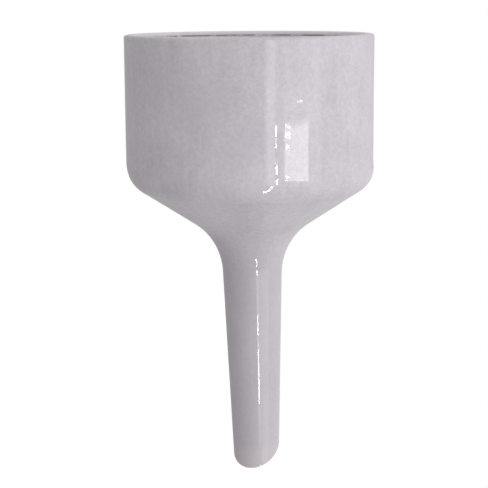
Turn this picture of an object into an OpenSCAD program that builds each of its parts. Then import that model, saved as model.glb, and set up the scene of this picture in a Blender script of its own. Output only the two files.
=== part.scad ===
// Buchner funnel in glazed porcelain: a bowl and a lower funnel luted together with slip,
// with a perforated plate fixed between them. Nothing on it moves.
// Z = 0 is the lowest point of the stem, and the Z axis is the bowl's axis.

/* [Bowl] */
// Outside diameter of the bowl, over its glaze
bowl_d = 100; // [90:1:140]
// Depth from the rim to the top of the filter plate
bowl_depth = 45; // [30:1:80]
// Thickness of the bowl's wall, without glaze
wall = 4; // [3:0.25:5]
// Radius along both edges of the rim
rim_round = 1.4; // [0.5:0.1:1.4]
// How far the outside glaze stops below the top of the rim
rim_bare_out = 1.4; // [1.4:0.1:4]
// How far the inside glaze stops below the top of the rim
rim_bare_in = 2.2; // [1.4:0.1:4]

/* [Filter plate] */
// Thickness of the plate
plate_t = 5; // [4:0.5:7]
// Diameter of each hole
hole_d = 2.2; // [1:0.1:3]
// Distance from one ring of holes to the next
ring_pitch = 6.4; // [5:0.2:10]
// Width of plain plate kept between the last ring and the edge of the ledge
plate_margin = 3; // [2:0.5:6]
// Width of the ledge under the edge of the plate
ledge_w = 3; // [2:0.25:5]

/* [Lower funnel] */
// Height of the upright band between the joint and the shoulder's corner
band_h = 8.2; // [7.6:0.2:14]
// Outside radius of the shoulder
shoulder_round = 11; // [5:0.5:13.5]
// Slope of the cone below level
cone_angle = 33.5; // [27:0.5:41]
// Thickness of the cone's wall, with glaze
cone_wall = 4.4; // [4:0.2:6]
// Outside radius where the cone turns into the stem
neck_round = 26; // [10:1:32]
// Inside radius at the foot of the chamber's upright wall
chamber_round = 8; // [3:0.5:10]
// Inside radius where the cone turns into the throat
throat_round = 14; // [5:1:18]

/* [Stem] */
// Length from the corner of the neck to the stem's lowest point
stem_len = 95.5; // [75:0.5:130]
// Outside diameter of the stem at the corner of the neck
stem_d = 25.2; // [22:0.2:31]
// Outside diameter of the stem at its lowest point
tip_d = 18.7; // [16.5:0.1:22]
// Diameter of the straight outlet bore, inside its glaze
bore_d = 12; // [9:0.5:13]
// Diameter at the top of the tapered throat, inside its glaze
throat_d = 17; // [14:0.5:17]
// Height of the straight outlet bore above the stem's lowest point
outlet_len = 40; // [20:1:60]
// Slope of the slanted cut across the end of the stem
tip_angle = 33.5; // [0:0.5:45]
// Way that the long side of the cut faces, turned from the front towards -X
tip_turn = 22.5; // [0:0.5:45]

/* [Joints and glaze] */
// Lean of the lower funnel away from the bowl's axis, as the pieces were luted by hand
lean = 1; // [0:0.25:2]
// Thickness of the slip bed in each joint
lute_t = 0.6; // [0.4:0.1:1.2]
// Gap round the plate that slip fills
lute_gap = 0.5; // [0.3:0.1:1]
// Radius of the slip fillet between the plate and the wall
lute_fillet = 2.5; // [1:0.25:4]
// Thickness of the glaze
glaze_t = 0.3; // [0.2:0.05:0.5]

/* [Hidden] */

$fn = 96;
arc_steps = 14;   // chords in each rounded corner of an outline
hole_fn = 24;
trim = 2;         // extra length on a shape that is cut back afterwards

bowl_r = bowl_d / 2;
body_r = bowl_r - glaze_t;                       // outside of the bare wall
wall_in = body_r - wall;                         // inside of the bare wall
plate_r = wall_in - lute_gap;
chamber_r = plate_r - ledge_w - glaze_t;         // inside of the glazed chamber under the plate
taper = atan((stem_d - tip_d) / 2 / stem_len);   // half angle of the stem
neck_run = neck_round * tan((90 - cone_angle - taper) / 2);

// Levels, from the stem's lowest point up
stem_top_z = stem_len - neck_run;                               // joint of the stem and the neck
corner_z = stem_len + (bowl_r - stem_d / 2) * tan(cone_angle);  // shoulder's corner
joint_z = corner_z + band_h;                                    // top of the lower funnel
plate_z = joint_z + lute_t;                                     // underside of the plate
seat_z = plate_z + plate_t;                                     // top of the plate
rim_z = seat_z + bowl_depth;
outer_glaze_z = rim_z - rim_bare_out;                           // upper edge of the outside glaze
inner_glaze_z = rim_z - rim_bare_in;                            // upper edge of the inside glaze

block = 1000;    // side of the cutting blocks, larger than the whole funnel
hole_rings = floor((chamber_r - plate_margin) / ring_pitch);

// Height of the cone's inner face at radius r, inside its glaze
function cone_inside(r) = corner_z - (bowl_r - r) * tan(cone_angle) + cone_wall / cos(cone_angle);

// Outline of the lower funnel's outside, from the top down, and the radius at each corner
outside_path = [
    [bowl_r, joint_z + trim],
    [bowl_r, corner_z],
    [stem_d / 2, stem_len],
    [tip_d / 2 - trim * tan(taper), -trim]
];
outside_round = [0, shoulder_round, neck_round, 0];

// Outline of the lower funnel's inside, from the top down
inside_path = [
    [chamber_r, joint_z + 2 * trim],
    [chamber_r, cone_inside(chamber_r)],
    [throat_d / 2, cone_inside(throat_d / 2)],
    [bore_d / 2, outlet_len],
    [bore_d / 2, -2 * trim]
];
inside_round = [0, chamber_round, throat_round, 0, 0];

// Outline of the bowl's bare inside: down the wall, round the slip fillet and on to the plate
plate_skin_r = wall_in - lute_fillet - trim;
seat_path = [[wall_in, inner_glaze_z], [wall_in, seat_z], [plate_skin_r, seat_z]];
seat_round = [0, lute_fillet, 0];

function heading(a, b) = (b - a) / norm(b - a);
function left_of(v) = [-v.y, v.x];
function cross_of(u, v) = u.x * v.y - u.y * v.x;

// The outline moved sideways by d, to the left of its direction, with each corner kept sharp
function shifted(path, d) =
    let (last = len(path) - 1,
         sides = [for (i = [0 : last - 1]) left_of(heading(path[i], path[i + 1]))])
    [
        for (i = [0 : last])
            let (u = sides[max(i - 1, 0)], v = sides[min(i, last - 1)])
                path[i] + d * (u + v) / (1 + u * v)
    ];

// The arc of radius r that rounds the corner at b
function corner_arc(a, b, c, r) =
    let (u = heading(a, b),
         v = heading(b, c),
         side = sign(cross_of(u, v)),
         turn = acos(u * v),
         start = b - u * r * tan(turn / 2),
         centre = start + side * r * left_of(u))
    [
        for (k = [0 : arc_steps])
            let (t = side * turn * k / arc_steps, q = start - centre)
                centre + [q.x * cos(t) - q.y * sin(t), q.x * sin(t) + q.y * cos(t)]
    ];

// The outline moved by d, with its corners rounded so that both faces of a skin stay parallel
function skin(path, radii, d) =
    let (p = shifted(path, d))
    [
        for (i = [0 : len(p) - 1])
            if (radii[i] == 0) p[i]
            else
                let (side = sign(cross_of(heading(p[i - 1], p[i]), heading(p[i], p[i + 1]))))
                    each corner_arc(p[i - 1], p[i], p[i + 1], radii[i] - side * d)
    ];

function reversed(list) = [for (i = [len(list) - 1 : -1 : 0]) list[i]];

function outside(d) = skin(outside_path, outside_round, d);
function inside(d) = skin(inside_path, inside_round, d);

// The solid of revolution between an outline and the axis
module turned(line) {
    rotate_extrude()
        polygon(concat([[0, line[0].y]], line, [[0, line[len(line) - 1].y]]));
}

module ring(r_out, r_in, z_low, z_high) {
    rotate_extrude()
        polygon([[r_in, z_low], [r_out, z_low], [r_out, z_high], [r_in, z_high]]);
}

// Everything under level z
module below(z) {
    translate([-block / 2, -block / 2, z - block])
        cube(block);
}

// Tilts the lower funnel about the middle of its joint with the bowl
module leaning() {
    translate([0, 0, joint_z])
        rotate([0, -lean, 0])
            translate([0, 0, -joint_z])
                children();
}

// Everything past the slanted end of the stem, the cut being raised by lift along its own normal
module past_tip(lift) {
    rotate([0, 0, -90 - tip_turn])
        translate([tip_d / 2, 0, 0])
            rotate([0, tip_angle, 0])
                translate([-block / 2, -block / 2, lift - block])
                    cube(block);
}

// The lower funnel's bare wall, whole, before it is divided into its pieces
module lower_wall() {
    difference() {
        turned(outside(-glaze_t));
        turned(inside(glaze_t));
    }
}

// The plate's holes: one in the middle, then rings of 6, 12, 18 and so on
module holes(z_low, height) {
    translate([0, 0, z_low - trim])
        cylinder(d = hole_d, h = height + 2 * trim, $fn = hole_fn);
    for (ring_no = [1 : hole_rings])
        for (k = [0 : 6 * ring_no - 1])
            rotate([0, 0, 60 * k / ring_no])
                translate([ring_no * ring_pitch, 0, z_low - trim])
                    cylinder(d = hole_d, h = height + 2 * trim, $fn = hole_fn);
}

module bowl() {
    color("#b8b3ac")
        rotate_extrude()
            polygon(concat(
                [[wall_in, plate_z], [body_r, plate_z]],
                corner_arc([body_r, plate_z], [body_r, rim_z], [wall_in, rim_z], rim_round),
                corner_arc([body_r, rim_z], [wall_in, rim_z], [wall_in, plate_z], rim_round)
            ));
}

module filter_plate() {
    color("#c4bfba")
        difference() {
            translate([0, 0, plate_z])
                cylinder(r = plate_r, h = plate_t);
            holes(plate_z, plate_t);
        }
}

module cone() {
    color("#bcb7b2")
        intersection() {
            below(joint_z);
            leaning()
                difference() {
                    lower_wall();
                    below(stem_top_z);
                }
        }
}

module stem() {
    color("#bcb7b2")
        leaning()
            difference() {
                intersection() {
                    lower_wall();
                    below(stem_top_z - lute_t);
                }
                past_tip(glaze_t);
            }
}

// Slip that beds the plate on its ledge, fills the gap round it and fillets it to the wall
module plate_lute() {
    color("#aaa59f")
        rotate_extrude()
            polygon(concat(
                [[chamber_r + glaze_t, joint_z], [wall_in, joint_z]],
                corner_arc([wall_in, rim_z], [wall_in, seat_z], [0, seat_z], lute_fillet),
                [[plate_r, seat_z], [plate_r, plate_z], [chamber_r + glaze_t, plate_z]]
            ));
}

module shoulder_lute() {
    color("#aaa59f")
        ring(body_r, wall_in, joint_z, plate_z);
}

module stem_lute() {
    color("#aaa59f")
        leaning()
            difference() {
                intersection() {
                    lower_wall();
                    below(stem_top_z);
                }
                below(stem_top_z - lute_t);
            }
}

// Glaze on the outside of the bowl, from below the rim to the joint
module bowl_outer_glaze() {
    color("#cbc4cd")
        ring(bowl_r, body_r, joint_z, outer_glaze_z);
}

// Glaze on the outside of the lower funnel, from the joint down and round the stem's slanted end
module funnel_outer_glaze() {
    color("#cbc4cd")
        intersection() {
            below(joint_z);
            leaning()
                difference() {
                    turned(outside(0));
                    past_tip(0);
                    difference() {
                        turned(outside(-glaze_t));
                        past_tip(glaze_t);
                    }
                    turned(inside(glaze_t));
                }
        }
}

// Glaze inside the bowl and over the top of the plate
module bowl_inner_glaze() {
    color("#cbc4cd")
        union() {
            rotate_extrude()
                polygon(concat(
                    skin(seat_path, seat_round, 0),
                    reversed(skin(seat_path, seat_round, -glaze_t))
                ));
            difference() {
                translate([0, 0, seat_z])
                    cylinder(r = plate_skin_r, h = glaze_t);
                holes(seat_z, glaze_t);
            }
        }
}

// Glaze on the underside of the plate and round the edge of its slip bed
module plate_glaze() {
    color("#cbc4cd")
        union() {
            difference() {
                translate([0, 0, plate_z - glaze_t])
                    cylinder(r = chamber_r + glaze_t, h = glaze_t);
                holes(plate_z - glaze_t, glaze_t);
            }
            ring(chamber_r + glaze_t, chamber_r, joint_z, plate_z);
        }
}

// Glaze down the chamber's wall, the throat and the stem's bore
module throat_glaze() {
    color("#cbc4cd")
        intersection() {
            below(joint_z);
            leaning()
                difference() {
                    turned(inside(glaze_t));
                    turned(inside(0));
                    past_tip(0);
                }
        }
}

bowl();
filter_plate();
cone();
stem();
plate_lute();
shoulder_lute();
stem_lute();
bowl_outer_glaze();
funnel_outer_glaze();
bowl_inner_glaze();
plate_glaze();
throat_glaze();
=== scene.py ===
"""A glazed porcelain Buchner funnel on a plain white stage.

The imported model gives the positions. Lengths are in metres, in the model's own frame: Z is the
bowl's axis, and the front faces -Y.
"""

import math

import bmesh
import bpy
import numpy as np
from mathutils import Matrix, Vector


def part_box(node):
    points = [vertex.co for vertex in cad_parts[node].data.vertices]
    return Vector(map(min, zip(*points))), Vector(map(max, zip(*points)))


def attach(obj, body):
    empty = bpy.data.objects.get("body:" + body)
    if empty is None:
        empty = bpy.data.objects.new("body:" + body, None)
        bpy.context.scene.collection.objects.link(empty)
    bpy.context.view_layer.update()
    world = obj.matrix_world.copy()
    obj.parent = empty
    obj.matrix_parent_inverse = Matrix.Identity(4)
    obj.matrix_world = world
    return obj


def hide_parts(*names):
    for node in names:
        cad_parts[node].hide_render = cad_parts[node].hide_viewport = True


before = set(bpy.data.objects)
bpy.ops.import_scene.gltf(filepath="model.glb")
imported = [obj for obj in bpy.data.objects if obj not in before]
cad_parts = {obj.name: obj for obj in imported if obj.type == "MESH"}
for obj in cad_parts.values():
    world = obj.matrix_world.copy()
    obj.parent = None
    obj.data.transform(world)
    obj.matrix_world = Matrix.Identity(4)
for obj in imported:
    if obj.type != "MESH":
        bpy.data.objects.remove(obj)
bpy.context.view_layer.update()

MM = 0.001
TAU = 2 * math.pi

# ---------------------------------------------------------------- sizes
bowl_low, bowl_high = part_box("bowl")
plate_low, plate_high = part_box("filter_plate")
coat_low, coat_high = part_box("bowl_outer_glaze")
lining_low, lining_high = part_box("bowl_inner_glaze")
under_low, under_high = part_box("plate_glaze")

RIM_Z = bowl_high.z               # top of the rim
BARE_R = bowl_high.y              # outside of the bare wall
OUTER_R = coat_high.y             # outside of the glaze
WALL_IN = lining_high.y           # inside of the bare wall
GLAZE = OUTER_R - BARE_R          # thickness of the glaze
LINING_TOP = lining_high.z        # upper edge of the inside glaze
JOINT_Z = coat_low.z              # top of the lower funnel
PLATE_Z = plate_low.z             # underside of the plate
SEAT_Z = plate_high.z             # top of the plate
PLATE_R = plate_high.y
CHAMBER_R = under_high.y - GLAZE  # glazed inside of the chamber under the plate

# Sizes that the boxes of the nodes don't give
RIM_ROUND = 1.4 * MM
LUTE_FILLET = 2.5 * MM
BAND = 8.2 * MM                   # upright band between the joint and the shoulder's corner
SHOULDER_ROUND = 11 * MM
CONE_ANGLE = math.radians(33.5)
CONE_WALL = 4.4 * MM
NECK_ROUND = 26 * MM
CHAMBER_ROUND = 8 * MM
THROAT_ROUND = 14 * MM
STEM_LEN = 95.5 * MM
STEM_R = 12.6 * MM
TIP_R = 9.35 * MM
BORE_R = 6 * MM
THROAT_R = 8.5 * MM
OUTLET_LEN = 40 * MM
TIP_ANGLE = math.radians(33.5)
TIP_TURN = math.radians(22.5)
LEAN = math.tan(math.radians(1))  # sideways shift for each metre under the joint
SHIFT_DEPTH = 17 * MM             # the shoulder stands off as far as the lean makes at this depth
SHIFT_FULL = 5 * MM               # under the joint: where the shoulder has its whole shift,
SHIFT_KEPT = 25 * MM              # where the shift starts to fade
SHIFT_GONE = 50 * MM              # and where only the lean is left
HOLE_R = 1.1 * MM
HOLE_ROUND = 0.45 * MM            # edge of each hole, softened by the glaze
HOLE_SIDES = 20
RING_PITCH = 6.4 * MM
PLATE_MARGIN = 3 * MM

CORNER_Z = JOINT_Z - BAND
TAPER = math.atan((STEM_R - TIP_R) / STEM_LEN)
HOLE_RINGS = int((CHAMBER_R - PLATE_MARGIN) / RING_PITCH)
LUTE = PLATE_Z - JOINT_Z          # slip bed in each joint
NECK_TURN = math.pi / 2 - CONE_ANGLE - TAPER
STEM_TOP = STEM_LEN - NECK_ROUND * math.tan(NECK_TURN / 2) * math.cos(TAPER)

# How finely the pieces are turned
SEGMENTS = 288
BOWL_SEGMENTS = 192               # of the plate and of the glaze over it
HIDDEN_SEGMENTS = 144             # of the pieces inside the lower funnel
FINE = 0.9 * MM                   # gap between rows on a surface that shows
LIP_GAP = 0.24 * MM               # gap between rows round the slanted end
RIM_GAP = 0.4 * MM                # gap between rows round the rim
INSIDE_GAP = 1.6 * MM             # gap between rows in the chamber and the throat
STEM_GAP = 1.2 * MM               # gap between rows of the stem's bare wall
WALL_GAP = 2 * MM                 # gap between rows of the other bare walls
COARSE = 5 * MM                   # gap between rows on a surface that is hidden

# Unevenness left by the hand
SWELL_SIZE = 38 * MM              # width of the slow lumps
RIPPLE_SIZE = 8 * MM              # and of the quick ones
OUTSIDE_SWELL = 0.11 * MM         # height of each on the outside
OUTSIDE_RIPPLE = 0.022 * MM
RIM_SWELL = 0.07 * MM             # and on the bare rim
RIM_RIPPLE = 0.03 * MM
RIM_SINK = 0.06 * MM              # the uneven rim is set this much lower
LINING_SWELL = 0.08 * MM          # and inside the bowl
LINING_RIPPLE = 0.03 * MM

# The turning mark where the shoulder runs into the cone
CREASE_HEIGHT = 0.07 * MM
CREASE_WIDTH = 1.1 * MM
CREASE_OUT = 0.4 * MM             # how far outside the end of the rounding it is

# The end of the stem
LIP_ROUND = 0.9 * MM              # outer edge of the slanted end
BORE_ROUND = 0.8 * MM             # edge of the bore
LIP_DROP = 0.42 * MM              # what rounding the lip takes off the length of the stem
STEM_END = 3 * MM                 # every row of the bare stem is kept below this
SLANT_LEVEL = 30 * MM             # rows are level above this, and follow the slant below it
BORE_LEVEL = 18 * MM              # where the lip's glaze meets the lining of the bore

WHITE = (1, 1, 1, 1)


# ---------------------------------------------------------------- node trees
class Wire:
    """One output of a node. Arithmetic on it adds Math nodes to the same tree."""

    def __init__(self, net, socket):
        self.net, self.socket = net, socket

    def math(self, operation, *values):
        return self.net.add("ShaderNodeMath", {"operation": operation}, dict(enumerate(values)))

    def __add__(self, other):
        return self.math("ADD", self, other)

    def __sub__(self, other):
        return self.math("SUBTRACT", self, other)

    def __rsub__(self, other):
        return self.math("SUBTRACT", other, self)

    def __mul__(self, other):
        return self.math("MULTIPLY", self, other)

    def __truediv__(self, other):
        return self.math("DIVIDE", self, other)

    __radd__ = __add__


class Net:
    """A node tree that is written one node at a time."""

    def __init__(self, tree):
        self.tree = tree
        tree.nodes.clear()

    def add(self, kind, settings=None, sockets=None, out=0):
        """A node of this type with its settings, then the values or links of its sockets."""
        node = self.tree.nodes.new(kind)
        for name, value in (settings or {}).items():
            if name == "stops":
                set_stops(node.color_ramp, value)
            else:
                setattr(node, name, value)
        for name, value in (sockets or {}).items():
            if isinstance(value, Wire):
                self.tree.links.new(value.socket, node.inputs[name])
            else:
                node.inputs[name].default_value = value
        return Wire(self, node.outputs[out] if len(node.outputs) else None)

    def noise(self, place, size, detail=2.0, rough=0.5, seed=0.0):
        """Soft random lumps about size across, from 0 to 1."""
        settings = {"noise_dimensions": "4D"}
        sockets = {"Vector": place, "W": seed, "Scale": 1 / size, "Detail": detail, "Roughness": rough}
        return self.add("ShaderNodeTexNoise", settings, sockets)

    def step(self, value, low, high, smooth=True):
        """0 where value is low, 1 where it is high."""
        settings = {"interpolation_type": "SMOOTHSTEP" if smooth else "LINEAR", "clamp": True}
        sockets = {"Value": value, "From Min": low, "From Max": high}
        return self.add("ShaderNodeMapRange", settings, sockets)

    def vector(self, operation, *values, out=0):
        return self.add("ShaderNodeVectorMath", {"operation": operation}, dict(enumerate(values)), out)

    def split(self, vector):
        """The three parts of a vector."""
        first = self.add("ShaderNodeSeparateXYZ", None, {0: vector})
        return [Wire(self, socket) for socket in first.socket.node.outputs]

    def join(self, x, y, z):
        return self.add("ShaderNodeCombineXYZ", None, {0: x, 1: y, 2: z})

    def mix(self, share, a, b):
        """Colour a where share is 0 and colour b where it is 1."""
        settings = {"data_type": "RGBA"}
        sockets = {0: share, 6: a, 7: b}
        return self.add("ShaderNodeMix", settings, sockets, 2)


def set_stops(ramp, stops):
    """Gives a colour ramp its stops: a place and a colour for each."""
    while len(ramp.elements) < len(stops):
        ramp.elements.new(1)
    for element, (place, colour) in zip(ramp.elements, stops):
        element.position, element.color = place, colour


# ---------------------------------------------------------------- outlines
def unit(v):
    return v / np.linalg.norm(v)


def left_of(v):
    return np.array([-v[1], v[0]])


def cross(u, v):
    return u[0] * v[1] - u[1] * v[0]


def corner_arc(a, b, c, radius, steps=14):
    """The arc that rounds the corner at b, from its start on ab to its end on bc."""
    u, v = unit(b - a), unit(c - b)
    turn = math.atan2(cross(u, v), u @ v)
    start = b - u * radius * math.tan(abs(turn) / 2)
    centre = start + math.copysign(radius, turn) * left_of(u)
    arm = start - centre
    angles = turn * np.linspace(0, 1, steps + 1)
    return [centre + math.cos(t) * arm + math.sin(t) * left_of(arm) for t in angles]


def outline(path, radii, shift=0.0):
    """The path moved to the left of its direction by shift, with its corners rounded.

    Each radius belongs to the unmoved path, and changes with shift so that two faces of one
    wall stay parallel.
    """
    path = [np.array(p, float) for p in path]
    sides = [left_of(unit(b - a)) for a, b in zip(path, path[1:])]
    moved = []
    for i, point in enumerate(path):
        u, v = sides[max(i - 1, 0)], sides[min(i, len(sides) - 1)]
        moved.append(point + shift * (u + v) / (1 + u @ v))
    points = [moved[0]]
    for i in range(1, len(path) - 1):
        a, b, c = moved[i - 1:i + 2]
        if radii[i] == 0:
            points.append(b)
        else:
            side = math.copysign(1, cross(b - a, c - b))
            points += corner_arc(a, b, c, radii[i] - side * shift)
    points.append(moved[-1])
    return np.array(points)


def spaced(points, gap):
    """The same line with its points at equal gaps along it."""
    steps = np.linalg.norm(np.diff(points, axis=0), axis=1)
    points = points[np.r_[True, steps > 1e-9]]
    along = np.r_[0, np.cumsum(np.linalg.norm(np.diff(points, axis=0), axis=1))]
    stops = np.linspace(0, along[-1], max(2, int(round(along[-1] / gap)) + 1))
    return np.stack([np.interp(stops, along, points[:, k]) for k in (0, 1)], axis=1)


def loop(*lines):
    """Lines end to end as one closed outline, which ends on the point it starts from."""
    line = np.concatenate(lines)
    line = np.concatenate([line, line[:1]])
    steps = np.linalg.norm(np.diff(line, axis=0), axis=1)
    return line[np.r_[True, steps > 1e-7]]


# ---------------------------------------------------------------- the wheel
def new_tree(name, *inputs):
    """A Geometry Nodes tree with these named inputs after its geometry, and its Group Input."""
    tree = bpy.data.node_groups.new(name, "GeometryNodeTree")
    tree.interface.new_socket("Geometry", in_out="INPUT", socket_type="NodeSocketGeometry")
    for label, kind in inputs:
        tree.interface.new_socket(label, in_out="INPUT", socket_type="NodeSocket" + kind)
    tree.interface.new_socket("Geometry", in_out="OUTPUT", socket_type="NodeSocketGeometry")
    net = Net(tree)
    start = net.add("NodeGroupInput").socket.node
    return net, {socket.name: Wire(net, socket) for socket in start.outputs if socket.name}


def finish_tree(net, geometry, material):
    real = net.add("GeometryNodeRealizeInstances", None, {"Geometry": geometry})
    dressed = net.add("GeometryNodeSetMaterial", None, {"Geometry": real, "Material": material})
    net.add("NodeGroupOutput", None, {"Geometry": dressed})
    return net.tree


def wheel_tree():
    """Turns an outline of (radius, 0, height) points round the Z axis, then works the clay.

    The stem's end is sheared to its slant, the surface gets its unevenness, and what lies under
    the shoulder joint leans.
    """
    net, given = new_tree(
        "wheel", ("Rows", "Int"), ("Segments", "Int"), ("Seed", "Float"), ("Swell", "Float"),
        ("Ripple", "Float"), ("Slant", "Float"), ("Lean", "Float"), ("Material", "Material"))
    around = given["Segments"] + 1
    grid = net.add("GeometryNodeMeshGrid", None, {"Vertices X": given["Rows"], "Vertices Y": around})
    index = net.add("GeometryNodeInputIndex")
    row = index.math("FLOOR", (index + 0.5) / around)
    column = index - row * around
    angle = column * TAU / given["Segments"]
    sample = net.add(
        "GeometryNodeSampleIndex", {"data_type": "FLOAT_VECTOR", "domain": "POINT"},
        {"Geometry": given["Geometry"], "Value": net.add("GeometryNodeInputPosition"), "Index": row})
    radius, _, height = net.split(sample)
    grip_sample = net.add(
        "GeometryNodeSampleIndex", {"data_type": "FLOAT", "domain": "POINT"},
        {"Geometry": given["Geometry"], "Index": row,
         "Value": net.add("GeometryNodeInputNamedAttribute", {"data_type": "FLOAT"}, {"Name": "grip"})})

    # The slanted end: each point slides down or up its own upright line, and keeps to the taper
    rise, grow = math.tan(TIP_ANGLE), math.tan(TAPER)
    toward = angle.math("COSINE", angle + TIP_TURN)
    reach = net.step(height, SLANT_LEVEL, 0) * given["Slant"]
    outer = net.step(radius, BORE_R, TIP_R, smooth=False)
    climb = (TIP_R - radius * toward) * rise * reach / (1 + outer * toward * (grow * rise) * reach)
    radius = radius + climb * outer * grow
    height = height + climb - reach * LIP_DROP
    place = net.join(radius * angle.math("SINE", angle), radius * angle.math("COSINE", angle) * -1, height)
    turned = net.add("GeometryNodeSetPosition", None, {"Geometry": grid, "Position": place})

    # Unevenness left by the hand, along the surface's own direction
    named = net.add("GeometryNodeInputPosition")
    stored = net.add(
        "GeometryNodeStoreNamedAttribute", {"data_type": "FLOAT", "domain": "POINT"},
        {"Geometry": turned, "Name": "grip", "Value": grip_sample})
    merged = net.add("GeometryNodeMergeByDistance", None, {"Geometry": stored, "Distance": 1e-6})
    flat = net.vector("MULTIPLY", named, (0.8, 0.8, 1.0))
    slow = net.noise(named, SWELL_SIZE, 1.0, 0.4, given["Seed"]) - 0.5
    quick = net.noise(flat, RIPPLE_SIZE, 1.0, 0.4, given["Seed"] + 5) - 0.5
    grip = net.add("GeometryNodeInputNamedAttribute", {"data_type": "FLOAT"}, {"Name": "grip"})
    lift = (slow * given["Swell"] * 2 + quick * given["Ripple"] * 2) * grip
    offset = net.vector("SCALE", net.add("GeometryNodeInputNormal"))
    net.tree.links.new(lift.socket, offset.socket.node.inputs["Scale"])
    worked = net.add("GeometryNodeSetPosition", None, {"Geometry": merged, "Offset": offset})

    # The lower funnel leans towards +X from the joint down, with every level kept level
    spot = net.add("GeometryNodeInputPosition")
    drop = JOINT_Z - net.split(spot)[2]
    under = drop.math("MAXIMUM", drop, 0)
    stand_off = net.step(under, 0, SHIFT_FULL) - net.step(under, SHIFT_KEPT, SHIFT_GONE)
    leaned = net.join((under + stand_off * SHIFT_DEPTH) * given["Lean"], 0, 0)
    leaning = net.add("GeometryNodeSetPosition", None, {"Geometry": worked, "Offset": leaned})
    smooth = net.add("GeometryNodeSetShadeSmooth", None, {"Geometry": leaning, "Shade Smooth": True})
    return finish_tree(net, smooth, given["Material"])


def perforate_tree():
    """Cuts rings of holes, six more in each ring, round one hole in the middle."""
    net, given = new_tree(
        "perforations", ("Cutter", "Object"), ("Rings", "Int"), ("Pitch", "Float"),
        ("Material", "Material"))
    rings = given["Rings"]
    count = rings * (rings + 1) * 3 + 1
    points = net.add("GeometryNodePoints", None, {"Count": count})
    index = net.add("GeometryNodeInputIndex")
    # Ring k holds the 6k points that follow the first 1 + 3k(k - 1)
    inside = index.math("MAXIMUM", index * 12 - 3, 0)
    ring = index.math("FLOOR", (index.math("SQRT", inside) + 3) / 6)
    ring = ring * index.math("GREATER_THAN", index, 0.5)
    order = index - 1 - ring * (ring - 1) * 3
    angle = order * (TAU / 6) / ring.math("MAXIMUM", ring, 1)
    radius = ring * given["Pitch"]
    place = net.join(radius * angle.math("COSINE", angle), radius * angle.math("SINE", angle), 0)
    laid = net.add("GeometryNodeSetPosition", None, {"Geometry": points, "Position": place})
    cutter = net.add(
        "GeometryNodeObjectInfo", {"transform_space": "ORIGINAL"}, {"Object": given["Cutter"]},
        "Geometry")
    cutters = net.add("GeometryNodeInstanceOnPoints", None, {"Points": laid, "Instance": cutter})
    solid = net.add("GeometryNodeRealizeInstances", None, {"Geometry": cutters})
    cut = net.add(
        "GeometryNodeMeshBoolean", {"operation": "DIFFERENCE", "solver": "EXACT"},
        {"Mesh 1": given["Geometry"], "Mesh 2": solid})
    smooth = net.add("GeometryNodeSetShadeSmooth", None, {"Geometry": cut, "Shade Smooth": True})
    return finish_tree(net, smooth, given["Material"])


def run_tree(piece, tree, **values):
    """Puts the piece through a tree and keeps the result as its plain mesh."""
    modifier = piece.modifiers.new(tree.name, "NODES")
    modifier.node_group = tree
    for item in tree.interface.items_tree:
        if item.in_out == "INPUT" and item.name in values:
            modifier[item.identifier] = values[item.name]
    bpy.context.view_layer.update()
    graph = bpy.context.evaluated_depsgraph_get()
    mesh = bpy.data.meshes.new_from_object(piece.evaluated_get(graph))
    piece.modifiers.clear()
    old, piece.data = piece.data, mesh
    bpy.data.meshes.remove(old)
    mesh.name = piece.name


def face_out(mesh):
    """Merges the seam and points the faces of a closed mesh outwards."""
    bm = bmesh.new()
    bm.from_mesh(mesh)
    bmesh.ops.remove_doubles(bm, verts=bm.verts, dist=1e-7)
    bmesh.ops.recalc_face_normals(bm, faces=bm.faces)
    if bm.calc_volume(signed=True) < 0:
        bmesh.ops.reverse_faces(bm, faces=bm.faces)
    bm.to_mesh(mesh)
    bm.free()


def turn(name, line, material, grip=None, seed=0.0, swell=0.0, ripple=0.0, slant=0.0, lean=0.0,
         segments=SEGMENTS):
    """A piece turned on the wheel from an outline. Grip is how far the unevenness takes hold."""
    mesh = bpy.data.meshes.new(name)
    mesh.from_pydata([(r, 0, z) for r, z in line], [], [])
    share = mesh.attributes.new("grip", "FLOAT", "POINT")
    share.data.foreach_set("value", np.zeros(len(line)) if grip is None else grip)
    piece = bpy.data.objects.new(name, mesh)
    bpy.context.scene.collection.objects.link(piece)
    run_tree(
        piece, WHEEL, Rows=len(line), Segments=segments, Seed=seed, Swell=swell, Ripple=ripple,
        Slant=slant, Lean=lean, Material=material)
    for attribute in list(piece.data.attributes):
        if attribute.name == "grip":
            piece.data.attributes.remove(attribute)
    face_out(piece.data)
    return piece


# ---------------------------------------------------------------- the turned pieces
def cone_inside(r):
    """Height of the cone's glazed inner face at radius r."""
    return CORNER_Z - (OUTER_R - r) * math.tan(CONE_ANGLE) + CONE_WALL / math.cos(CONE_ANGLE)


def ease(t):
    """0 below 0, 1 above 1, and a smooth step between."""
    t = np.clip(t, 0, 1)
    return t * t * (3 - 2 * t)


def outside(shift):
    """The outside down to the stem's end and up into the bore, before the end gets its slant."""
    path = [(OUTER_R, RIM_Z - RIM_ROUND), (OUTER_R, CORNER_Z), (STEM_R, STEM_LEN), (TIP_R, 0),
            (BORE_R, 0), (BORE_R, BORE_LEVEL)]
    return outline(path, [0, SHOULDER_ROUND, NECK_ROUND, LIP_ROUND, BORE_ROUND, 0], shift)


def rim_edge():
    """The outside glaze over the rounded rim: it thins out part of the way up the rounding."""
    centre = np.array([BARE_R - RIM_ROUND, RIM_Z - RIM_ROUND])
    # It ends at the angle last, and gets thinner from fade before that
    last, fade = math.radians(64), math.radians(30)
    angles = np.linspace(last, 0, 14)
    thick = GLAZE * np.sqrt(np.clip((last - angles) / fade, 0, 1)) + 0.004 * MM
    reach = RIM_ROUND + thick
    return centre + np.stack([reach * np.cos(angles), reach * np.sin(angles)], axis=1)


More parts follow.
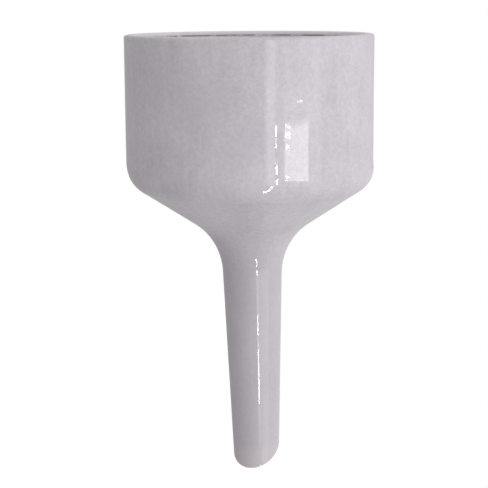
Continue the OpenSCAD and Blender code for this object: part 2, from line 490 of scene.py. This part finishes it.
def creased(line):
    """Raises the turning mark where the shoulder's rounding runs into the cone."""
    along = np.gradient(line, axis=0)
    along /= np.linalg.norm(along, axis=1, keepdims=True)
    crease_r = OUTER_R - SHOULDER_ROUND * (1 - math.sin(CONE_ANGLE)) + CREASE_OUT
    off = (line[:, :1] - crease_r) / CREASE_WIDTH
    ridge = CREASE_HEIGHT * np.exp(-off * off) * (line[:, 1:] < JOINT_Z)
    return line + ridge * np.stack([-along[:, 1], along[:, 0]], axis=1)


def make_outer_glaze(material):
    """The glaze over the whole outside, from the rim to the slanted end and up into the bore."""
    body = creased(spaced(outside(0), LIP_GAP))
    count = np.arange(len(body))
    # The lip keeps every row, the rest of the outside each fourth, and the bore each twentieth
    bore = body[:, 0] < BORE_R + 1e-6
    lip = (body[:, 1] < 2.5 * MM) & ~(bore & (body[:, 1] > 1.2 * MM))
    keep = lip | (~bore & (count % 4 == 0)) | (bore & (count % 20 == 0)) | (count == len(body) - 1)
    front = np.concatenate([rim_edge()[:-1], body[keep]])
    back = spaced(outside(-GLAZE), COARSE)[::-1]
    line = loop(front, back)
    skin = (np.arange(len(line)) < len(front)) & (line[:, 0] > BORE_R + 1e-6)
    grip = np.where(skin, ease((RIM_Z - line[:, 1]) / (3 * MM)), 0)
    return turn(
        "outer_glaze", line, material, grip, seed=3.0, swell=OUTSIDE_SWELL, ripple=OUTSIDE_RIPPLE,
        slant=1.0, lean=LEAN)


def make_bowl(material):
    """The bare wall, with the rim that the glaze leaves uncovered."""
    path = [(BARE_R, PLATE_Z), (BARE_R, RIM_Z), (WALL_IN, RIM_Z), (WALL_IN, PLATE_Z)]
    line = spaced(outline(path, [0, RIM_ROUND, RIM_ROUND, 0]), RIM_GAP)
    near = (line[:, 1] > RIM_Z - 6 * MM) | (np.arange(len(line)) % 10 == 0)
    line = loop(line[near])
    grip = ease((line[:, 1] - RIM_Z + 4 * MM) / (3 * MM))
    line[:, 1] -= grip * RIM_SINK
    return turn("bowl_wall", line, material, grip, seed=9.0, swell=RIM_SWELL, ripple=RIM_RIPPLE)


def make_lining(material):
    """Glaze down the inside of the bowl, round the fillet and over the plate."""
    path = [(WALL_IN, LINING_TOP), (WALL_IN, SEAT_Z), (0, SEAT_Z)]
    radii = [0, LUTE_FILLET, 0]
    front = spaced(outline(path, radii, -GLAZE), FINE)
    # The glaze is thinner at its upper edge
    front[0, 0] = WALL_IN - 0.05 * MM
    front[1, 0] += 0.08 * MM
    flat = front[:, 1] < SEAT_Z + GLAZE + 1e-6
    front = np.concatenate([front[~flat], front[flat][[0, -1]]])
    line = loop(front, outline(path, radii)[::-1])
    skin = np.arange(len(line)) < len(front)
    grip = np.where(skin, ease((line[:, 1] - SEAT_Z - 3 * MM) / (8 * MM)), 0)
    return turn(
        "bowl_lining", line, material, grip, seed=14.0, swell=LINING_SWELL, ripple=LINING_RIPPLE,
        segments=BOWL_SEGMENTS)


def make_plate(material):
    path = [(0, SEAT_Z), (PLATE_R, SEAT_Z), (PLATE_R, PLATE_Z), (0, PLATE_Z)]
    return turn("drilled_plate", loop(np.array(path)), material, segments=BOWL_SEGMENTS)


def inside(shift):
    """The glazed inside under the plate: chamber, cone, throat and bore down to BORE_LEVEL."""
    path = [(CHAMBER_R, PLATE_Z - GLAZE), (CHAMBER_R, cone_inside(CHAMBER_R)),
            (THROAT_R, cone_inside(THROAT_R)), (BORE_R, OUTLET_LEN), (BORE_R, BORE_LEVEL)]
    return spaced(outline(path, [0, CHAMBER_ROUND, THROAT_ROUND, 0, 0], shift), INSIDE_GAP)


def make_chamber(material):
    """Glaze under the plate, down the chamber and the cone, and through the throat into the bore."""
    back = inside(GLAZE)
    back[0, 1] = PLATE_Z
    line = loop(np.array([(0, PLATE_Z)]), back, inside(0)[::-1], np.array([(0, PLATE_Z - GLAZE)]))
    return turn("chamber_glaze", line, material, lean=LEAN, segments=HIDDEN_SEGMENTS)


def between(line, high, low):
    """The part of a falling outline from level high down to level low."""
    levels = line[:, 1]
    ends = [[np.interp(-z, -levels, line[:, 0]), z] for z in (high, low)]
    middle = line[(levels < high - 1e-6) & (levels > low + 1e-6)]
    return np.concatenate([ends[:1], middle, ends[1:]])


def make_wall(name, material, high, low):
    """A length of the lower funnel's bare wall, under the glaze of both its faces."""
    outer = between(spaced(outside(-GLAZE), WALL_GAP), high, low)
    inner = between(inside(GLAZE), high, low)
    return turn(name, loop(outer, inner[::-1]), material, lean=LEAN, segments=HIDDEN_SEGMENTS)


def make_stem(material):
    """The stem's bare wall, down to its slanted end."""
    end = outside(-GLAZE)
    upper = between(spaced(end, STEM_GAP), STEM_TOP - LUTE, STEM_END)
    outer = np.concatenate([upper, end[end[:, 1] < STEM_END]])
    inner = between(inside(GLAZE), STEM_TOP - LUTE, BORE_LEVEL)
    line = loop(outer[:-1], inner[::-1])
    return turn("stem_wall", line, material, slant=1.0, lean=LEAN, segments=HIDDEN_SEGMENTS)


def make_cutter(material):
    """One hole, with the round edges that the glaze gives it above and below."""
    top, bottom, over = SEAT_Z + GLAZE, PLATE_Z - GLAZE, 1 * MM
    turns = np.linspace(0, math.pi / 2, 5)
    wide, inset = HOLE_R + HOLE_ROUND, 0.96 * HOLE_ROUND
    upper = np.stack([wide - HOLE_ROUND * np.sin(turns), top - inset + HOLE_ROUND * np.cos(turns)], axis=1)
    lower = np.stack([upper[::-1, 0], top + bottom - upper[::-1, 1]], axis=1)
    ends = np.array([(0, top + over), (wide, top + over)])
    line = loop(ends, upper, lower, np.array([(wide, bottom - over), (0, bottom - over)]))
    return turn("cutter", line, material, segments=HOLE_SIDES)


# ---------------------------------------------------------------- finishes
def new_material(name):
    material = bpy.data.materials.new(name)
    material.use_nodes = True
    return material, Net(material.node_tree)


def finish_material(net, colour, roughness, height, **constants):
    """The shader: constants are set on its own sockets, and height is in metres."""
    bump = net.add("ShaderNodeBump", None, {"Height": height, "Distance": 1.0, "Strength": 1.0})
    sockets = {"Base Color": colour, "Roughness": roughness, "Normal": bump}
    sockets.update({name.replace("_", " "): value for name, value in constants.items()})
    shader = net.add("ShaderNodeBsdfPrincipled", None, sockets)
    net.add("ShaderNodeOutputMaterial", None, {"Surface": shader})


def scattered_spots(net, place, cell, share, size, seed):
    """Small spots in this share of the cells of a random pattern, up to this radius."""
    moved = net.vector("ADD", place, (seed, seed, seed))
    settings = {"voronoi_dimensions": "3D", "feature": "F1"}
    near = net.add("ShaderNodeTexVoronoi", settings, {"Vector": moved, "Scale": 1 / cell}, "Distance")
    lot = Wire(net, near.socket.node.outputs["Color"])
    first, second, _ = net.split(lot)
    chosen = first.math("LESS_THAN", first, share)
    return net.step(near * cell / (second * size + size * 0.3), 1, 0.4) * chosen


def glazed_porcelain(name, seed, on_outside=False):
    """White porcelain under a clear glaze: soft clouds, faint streaks, specks and pinholes."""
    material, net = new_material(name)
    place = net.add("ShaderNodeTexCoord", None, None, "Object")
    x, y, z = net.split(place)
    angle = x.math("ARCTAN2", x, y * -1)
    depth = RIM_Z - z

    cloud = net.step(net.noise(place, 15 * MM, 3, 0.5, seed), 0.3, 0.7)
    grain = net.step(net.noise(place, 1.9 * MM, 1, 0.5, seed + 1), 0.25, 0.75)
    dust = net.step(net.noise(place, 0.7 * MM, 1, 0.5, seed + 6), 0.25, 0.75)
    streaks = net.noise(net.join(angle * OUTER_R, 0, z * 0.12), 4 * MM, 2, 0.5, seed + 2)
    streaks = net.step(streaks, 0.3, 0.7)
    tone = cloud * 0.28 + grain * 0.27 + dust * 0.30 + streaks * 0.15
    colour = net.mix(tone, GLAZE_DARK, GLAZE_LIGHT)

    thick = net.step(net.noise(place, 24 * MM, 1, 0.4, seed + 3), 0.5, 0.8)
    colour = net.mix(thick * 0.35, colour, GLAZE_COOL)
    warm = net.step(net.noise(place, 30 * MM, 1, 0.4, seed + 4), 0.55, 0.85)
    colour = net.mix(warm * 0.30, colour, GLAZE_WARM)

    specks = scattered_spots(net, place, cell=9 * MM, share=0.16, size=0.20 * MM, seed=seed)
    if on_outside:
        # Painted shade: the outside glaze gets darker from the neck down the stem, by depth below the rim
        stem_painted_shade = net.step(depth, STEM_PAINTED_SHADE_TOP, STEM_PAINTED_SHADE_LOW)
        colour = net.mix(stem_painted_shade * STEM_PAINTED_SHADE_SHARE, colour, STEM_PAINTED_SHADE_COLOUR)
        iron = scattered_spots(net, place, IRON_CELL, IRON_SHARE, IRON_SIZE, seed + 11)
        specks = specks.math("MAXIMUM", specks, iron * 0.75)
        pale = scattered_spots(net, place, IRON_CELL, PALE_SHARE, IRON_SIZE, seed + 12)
        colour = net.mix(pale * 0.5, colour, WHITE)
        green = net.step(net.noise(place, 20 * MM, 1, 0.4, seed + 13), 0.6, 0.85)
        colour = net.mix(green * 0.2, colour, TINT_GREEN)
        pink = net.step(depth, PINK_TINT_DEPTH - 4 * MM, PINK_TINT_DEPTH)
        colour = net.mix(pink * 0.3, colour, TINT_PINK)
    colour = net.mix(specks * 0.85, colour, SPECK_COLOUR)

    pits = scattered_spots(net, place, cell=6 * MM, share=0.12, size=0.16 * MM, seed=seed + 7)
    peel = net.noise(place, 2.6 * MM, 2, 0.5, seed + 8)
    ripple = net.noise(place, 9 * MM, 1, 0.5, seed + 9)
    height = peel * PEEL + ripple * RIPPLE - pits * PIT - specks * PIT * 0.3
    roughness = net.noise(place, 6 * MM, 3, 0.6, seed + 10) * 0.03 + 0.015 + pits * 0.2
    finish_material(net, colour, roughness, height, IOR=1.5)
    return material


def bare_porcelain(name, seed, dark, light, rim_painted_shade=False):
    """Fired clay without glaze: matt, with a fine grain, faint turning lines and a few dark grains.

    The rim also has a thin broken dark line of painted shade just above the edge of the inside glaze.
    """
    material, net = new_material(name)
    place = net.add("ShaderNodeTexCoord", None, None, "Object")
    x, y, z = net.split(place)
    cloud = net.step(net.noise(place, 7 * MM, 3, 0.6, seed), 0.3, 0.7)
    grain = net.noise(place, 0.45 * MM, 2, 0.7, seed + 1)
    colour = net.mix(cloud * 0.5 + grain * 0.5, dark, light)
    grit = scattered_spots(net, place, cell=3 * MM, share=0.2, size=0.14 * MM, seed=seed)
    colour = net.mix(grit * 0.6, colour, GRIT_COLOUR)
    stain = net.step(net.noise(place, 11 * MM, 3, 0.6, seed + 2), 0.58, 0.75)
    colour = net.mix(stain * 0.3, colour, STAIN_COLOUR)
    # Painted shade: a thin broken dark line inside the rim, just above the edge of the inside glaze
    if rim_painted_shade:
        depth = RIM_Z - z
        line = net.step(depth, RIM_PAINTED_SHADE_TOP, RIM_PAINTED_SHADE_FULL) * net.step(depth, RIM_PAINTED_SHADE_LOW, RIM_PAINTED_SHADE_FULL)
        broken = net.step(net.noise(place, 5 * MM, 2, 0.6, seed + 6), 0.30, 0.55)
        near_glaze = net.step(net.vector("LENGTH", net.join(x, y, 0), out=1), WALL_IN + 0.8 * MM, WALL_IN)
        colour = net.mix(line * broken * near_glaze * 0.9, colour, RIM_PAINTED_SHADE_COLOUR)
    level = net.join(x * 0.05, y * 0.05, z)
    lines = net.noise(level, 0.5 * MM, 2, 0.5, seed + 3)
    height = grain * (0.03 * MM) + lines * (0.02 * MM) + grit * (0.02 * MM)
    roughness = grain * 0.15 + 0.72
    finish_material(net, colour, roughness, height, IOR=1.45)
    return material


GLAZE_DARK = (0.625, 0.578, 0.630, 1)
GLAZE_LIGHT = (0.840, 0.790, 0.845, 1)
GLAZE_COOL = (0.690, 0.680, 0.735, 1)
GLAZE_WARM = (0.775, 0.745, 0.735, 1)
# Painted shade on the neck and stem: its colour, the depths below the rim where it starts and is full, and
# its share
STEM_PAINTED_SHADE_COLOUR = (0.590, 0.545, 0.590, 1)
STEM_PAINTED_SHADE_TOP = 74 * MM
STEM_PAINTED_SHADE_LOW = 98 * MM
STEM_PAINTED_SHADE_SHARE = 0.6
IRON_CELL = 8 * MM                # larger specks: size of the random pattern's cells,
IRON_SHARE = 0.45                 # share of the cells with a dark speck,
PALE_SHARE = 0.08                 # and with a pale one,
IRON_SIZE = 0.5 * MM              # and their radius
SPECK_COLOUR = (0.10, 0.08, 0.07, 1)
TINT_GREEN = (0.74, 0.75, 0.68, 1)
TINT_PINK = (0.80, 0.68, 0.69, 1)
PINK_TINT_DEPTH = 172 * MM
GRIT_COLOUR = (0.20, 0.17, 0.14, 1)
STAIN_COLOUR = (0.50, 0.46, 0.40, 1)
# Painted shade inside the rim: its colour and the depths below the rim where it starts, is full and ends
RIM_PAINTED_SHADE_COLOUR = (0.17, 0.13, 0.13, 1)
RIM_PAINTED_SHADE_TOP = 1.35 * MM
RIM_PAINTED_SHADE_FULL = 1.75 * MM
RIM_PAINTED_SHADE_LOW = 2.3 * MM
PEEL = 0.0015 * MM
RIPPLE = 0.012 * MM
PIT = 0.03 * MM


# ---------------------------------------------------------------- making the object
WHEEL = wheel_tree()
PERFORATE = perforate_tree()

outside_glaze = glazed_porcelain("outside_glaze", 2.0, on_outside=True)
inside_glaze = glazed_porcelain("inside_glaze", 40.0)
biscuit = bare_porcelain("biscuit", 5.0, (0.66, 0.64, 0.62, 1), (0.78, 0.765, 0.745, 1))
# The rim clay carries the painted shade line inside the rim
rim_clay = bare_porcelain("rim_clay", 5.0, (0.84, 0.825, 0.82, 1), (0.92, 0.91, 0.90, 1), rim_painted_shade=True)
slip = bare_porcelain("slip", 15.0, (0.42, 0.39, 0.36, 1), (0.52, 0.49, 0.45, 1))

outer_glaze = make_outer_glaze(outside_glaze)
bowl_wall = make_bowl(rim_clay)
bowl_lining = make_lining(inside_glaze)
drilled_plate = make_plate(biscuit)
chamber_glaze = make_chamber(inside_glaze)
cone_wall = make_wall("cone_wall", biscuit, JOINT_Z, STEM_TOP)
stem_bed = make_wall("stem_bed", slip, STEM_TOP, STEM_TOP - LUTE)
stem_wall = make_stem(biscuit)

cutter = make_cutter(inside_glaze)
DRILLED = [(bowl_lining, inside_glaze), (drilled_plate, biscuit), (chamber_glaze, inside_glaze)]
for piece, material in DRILLED:
    run_tree(
        piece, PERFORATE, Cutter=cutter, Rings=HOLE_RINGS, Pitch=RING_PITCH, Material=material)
    face_out(piece.data)
bpy.data.objects.remove(cutter)

PIECES = [
    (outer_glaze, "glaze", ["bowl_outer_glaze", "funnel_outer_glaze"]),
    (bowl_wall, "porcelain", ["bowl"]),
    (bowl_lining, "glaze", ["bowl_inner_glaze"]),
    (drilled_plate, "porcelain", ["filter_plate"]),
    (chamber_glaze, "glaze", ["plate_glaze", "throat_glaze"]),
    (cone_wall, "porcelain", ["cone"]),
    (stem_bed, "slip", ["stem_lute"]),
    (stem_wall, "porcelain", ["stem"]),
]
for piece, slot, nodes in PIECES:
    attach(piece, "root")
    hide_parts(*nodes)

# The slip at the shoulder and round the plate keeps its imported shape
for node in ("plate_lute", "shoulder_lute"):
    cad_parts[node].material_slots[0].material = slip


# ---------------------------------------------------------------- the stage
def make_floor():
    """A plain floor well below the stem's end: white from above, clear from below, and softly lit."""
    bpy.ops.mesh.primitive_circle_add(
        vertices=64, radius=FLOOR_R, fill_type="NGON", location=(0, 0, FLOOR_Z))
    floor = bpy.context.object
    floor.name = "floor"
    material, net = new_material("floor")
    x, _, _ = net.split(net.add("ShaderNodeTexCoord", None, None, "Object"))
    glow = net.mix(net.step(x, -1.0, 1.4), FLOOR_DARK, FLOOR_LIGHT)
    soft = net.add("ShaderNodeEmission", None, {"Color": glow, "Strength": 1.0})
    white = net.add("ShaderNodeEmission", None, {"Color": WHITE, "Strength": 1.0})
    seen = net.add("ShaderNodeLightPath", None, None, "Is Camera Ray")
    face = net.add("ShaderNodeMixShader", None, {0: seen, 1: soft, 2: white})
    under = net.add("ShaderNodeNewGeometry", None, None, "Backfacing")
    clear = net.add("ShaderNodeBsdfTransparent")
    shader = net.add("ShaderNodeMixShader", None, {0: under, 1: face, 2: clear})
    net.add("ShaderNodeOutputMaterial", None, {"Surface": shader})
    floor.data.materials.append(material)


def make_world():
    world = bpy.data.worlds.new("studio")
    scene.world = world
    world.use_nodes = True
    net = Net(world.node_tree)
    x, _, z = net.split(net.add("ShaderNodeTexCoord", None, None, "Generated"))
    glow = net.mix(net.step(x, -0.7, 1.0), SKY_DARK, SKY_LIGHT)
    glow = net.mix(net.step(z, 0.35, 0.9), glow, SKY_TOP)
    soft = net.add("ShaderNodeBackground", None, {"Color": glow, "Strength": 1.0})
    white = net.add("ShaderNodeBackground", None, {"Color": WHITE, "Strength": 1.0})
    seen = net.add("ShaderNodeLightPath", None, None, "Is Camera Ray")
    shader = net.add("ShaderNodeMixShader", None, {0: seen, 1: soft, 2: white})
    net.add("ShaderNodeOutputWorld", None, {"Surface": shader})


def make_panel(name, azimuth, distance, z, size, radiance, glints_only=False):
    """A soft rectangular light that faces the bowl's axis. Azimuth is from the front, towards +X."""
    light = bpy.data.lights.new(name, "AREA")
    light.shape = "RECTANGLE"
    light.size, light.size_y = size
    light.energy = radiance * math.pi * size[0] * size[1]
    lamp = bpy.data.objects.new(name, light)
    turn_by = math.radians(azimuth)
    lamp.matrix_world = (
        Matrix.Translation((distance * math.sin(turn_by), -distance * math.cos(turn_by), z))
        @ Matrix.Rotation(turn_by, 4, "Z") @ Matrix.Rotation(math.pi / 2, 4, "X"))
    lamp.visible_camera = False
    lamp.visible_diffuse = not glints_only
    scene.collection.objects.link(lamp)


def make_camera():
    camera = bpy.data.cameras.new("camera")
    camera.sensor_width = 36
    camera.lens = CAMERA_LENS
    eye = bpy.data.objects.new("camera", camera)
    eye.matrix_world = (
        Matrix.Translation(CAMERA_PLACE)
        @ Matrix.Rotation(math.pi / 2 - CAMERA_PITCH, 4, "X") @ Matrix.Rotation(CAMERA_ROLL, 4, "Z"))
    scene.collection.objects.link(eye)
    scene.camera = eye


FLOOR_R = 6.0
FLOOR_DARK = (0.37, 0.37, 0.375, 1)
FLOOR_LIGHT = (0.73, 0.73, 0.735, 1)
FLOOR_Z = -0.60
SKY_DARK = (0.375, 0.375, 0.380, 1)
SKY_LIGHT = (0.720, 0.722, 0.730, 1)
SKY_TOP = (0.72, 0.72, 0.73, 1)
CAMERA_LENS = 98.97
CAMERA_PLACE = (-2.543 * MM, -543 * MM, RIM_Z + 14.16 * MM)
CAMERA_PITCH = math.radians(10.403)
CAMERA_ROLL = math.radians(-0.376)

SLIT_DISTANCE = 0.4
GLINT_DISTANCE = 0.99
# Bright upright slits beside the window: azimuth, width in mm, levels of the ends in mm, radiance
SLITS = [
    (21.9, 9, 105.4, 112, 28),
    (21.9, 9, 101.0, 103.0, 22),
    (22.6, 11, -22, 88.2, 26),
    (18.4, 20, -66.5, -50, 24),
    (18.8, 20, -120, -72, 24),
    (18.6, 24, -300, -178, 24),
    (16.0, 28, -380, -300, 24),
]
# Bright bits in the window: azimuth, width in degrees, levels of the ends in mm, radiance
GLINTS = [
    (34.4, 6.0, 56, 57.5, 16),
    (33.2, 6.0, 46, 48, 20),
    (33.2, 3.2, 30.5, 35.5, 26),
    (33.2, 3.6, 5.4, 8, 22),
    (43.0, 15.0, 5.6, 7.0, 13),
    (44.5, 5.0, 86.5, 88.6, 12),
]

scene = bpy.context.scene
scene.view_settings.view_transform = "Standard"
make_camera()
make_world()
make_floor()
make_panel(
    "daylight", azimuth=40.7, distance=1.3, z=0.05, size=(1.22, 1.2), radiance=0.99)
make_panel(
    "opening", azimuth=17.6, distance=1.25, z=0.05, size=(0.20, 1.1), radiance=1.2,
    glints_only=True)
make_panel(
    "window", azimuth=41.7, distance=1.0, z=0.0112, size=(0.385, 0.0895), radiance=3.2,
    glints_only=True)
make_panel(
    "window_edge", azimuth=41.4, distance=1.01, z=0.0105, size=(0.430, 0.104), radiance=1.2,
    glints_only=True)
make_panel(
    "back_window", azimuth=180.0, distance=1.0, z=0.0, size=(0.13, 0.60), radiance=3.0,
    glints_only=True)
for azimuth, wide, low, high, radiance in SLITS:
    size = (wide * MM, (high - low) * MM)
    middle = (low + high) / 2 * MM
    make_panel("slit", azimuth, SLIT_DISTANCE, middle, size, radiance, glints_only=True)
for azimuth, wide, low, high, radiance in GLINTS:
    size = (math.radians(wide) * GLINT_DISTANCE, (high - low) * MM)
    middle = (low + high) / 2 * MM
    make_panel("glint", azimuth, GLINT_DISTANCE, middle, size, radiance, glints_only=True)
